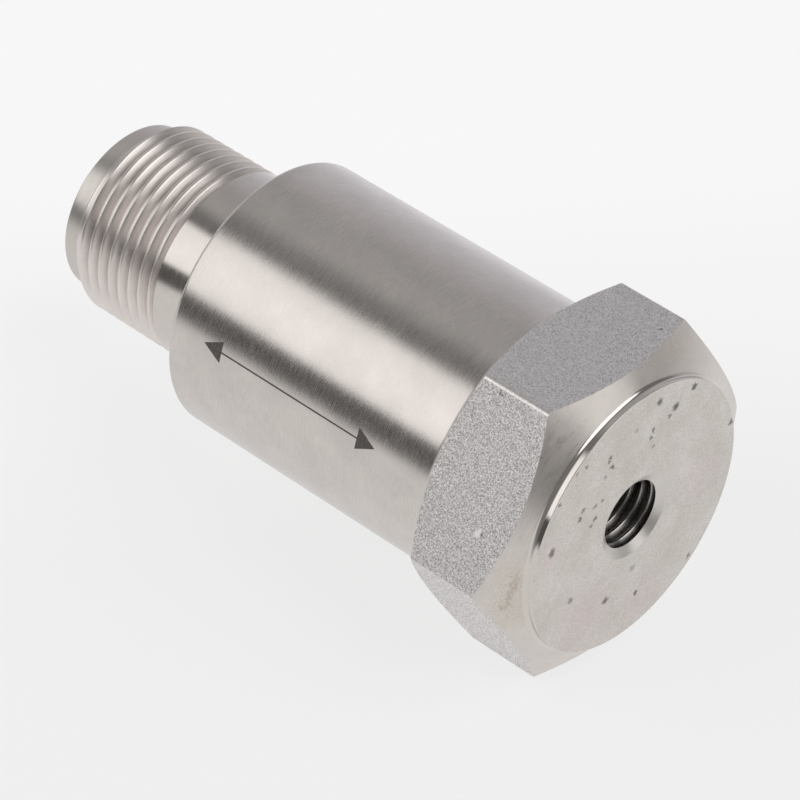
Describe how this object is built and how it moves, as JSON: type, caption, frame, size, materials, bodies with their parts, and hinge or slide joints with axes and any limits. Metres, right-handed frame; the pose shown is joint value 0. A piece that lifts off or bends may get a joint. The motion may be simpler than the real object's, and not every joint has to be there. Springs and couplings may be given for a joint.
{
  "type": "vibration sensor",
  "caption": "Stud-mounted vibration sensor in turned stainless steel: hexagonal base with a tapped hole, round body and a threaded connector with contact pins.",
  "frame": {"origin": "centre of the flat mounting face, at the mouth of the stud hole", "axes": "+Z along the sensing axis from the mounting face to the connector; the hexagon has flats facing +Y and -Y and corners on +X and -X"},
  "size_m": [0.0288, 0.025, 0.0514],
  "materials": {
    "housing_steel": "satin turned stainless steel, grainy on the hexagon's flats",
    "connector_steel": "smooth turned stainless steel",
    "seal_glass": "dark sealing glass, opaque",
    "contact_metal": "gold plated",
    "insulator_ceramic": "fired ceramic",
    "element_steel": "ground steel",
    "piezo_ceramic": "fired piezoelectric ceramic",
    "electrode_metal": "rolled copper alloy sheet",
    "mass_metal": "turned heavy metal",
    "bolt_steel": "black oxide",
    "shield_metal": "drawn sheet",
    "spacer_plastic": "moulded",
    "board_laminate": "solder mask",
    "chip_plastic": "moulded black",
    "capacitor_ceramic": "fired ceramic",
    "capacitor_plastic": "moulded",
    "lead_metal": "tinned wire",
    "lead_sheath_a": "extruded insulation",
    "lead_sheath_b": "extruded insulation"
  },
  "bodies": {
    "root": {"housing": "housing_steel", "connector_shell": "connector_steel", "connector_insert": "seal_glass", "contact_pin_a": "contact_metal", "contact_pin_b": "contact_metal", "base_insulator": "insulator_ceramic", "element_base": "element_steel", "piezo_ring_lower": "piezo_ceramic", "electrode_plate": "electrode_metal", "piezo_ring_upper": "piezo_ceramic", "seismic_mass": "mass_metal", "insulating_sleeve": "insulator_ceramic", "preload_washer": "element_steel", "preload_bolt": "bolt_steel", "inner_shield": "shield_metal", "board_spacer": "spacer_plastic", "circuit_board": "board_laminate", "amplifier_chip": "chip_plastic", "input_capacitor": "capacitor_ceramic", "supply_capacitor": "capacitor_plastic", "output_transistor": "chip_plastic", "bias_resistor": "chip_plastic", "protection_diode": "chip_plastic", "signal_lead": "lead_metal", "ground_lead": "lead_metal", "pin_lead_a": "lead_sheath_a", "pin_lead_b": "lead_sheath_b"}
  },
  "joints": []
}
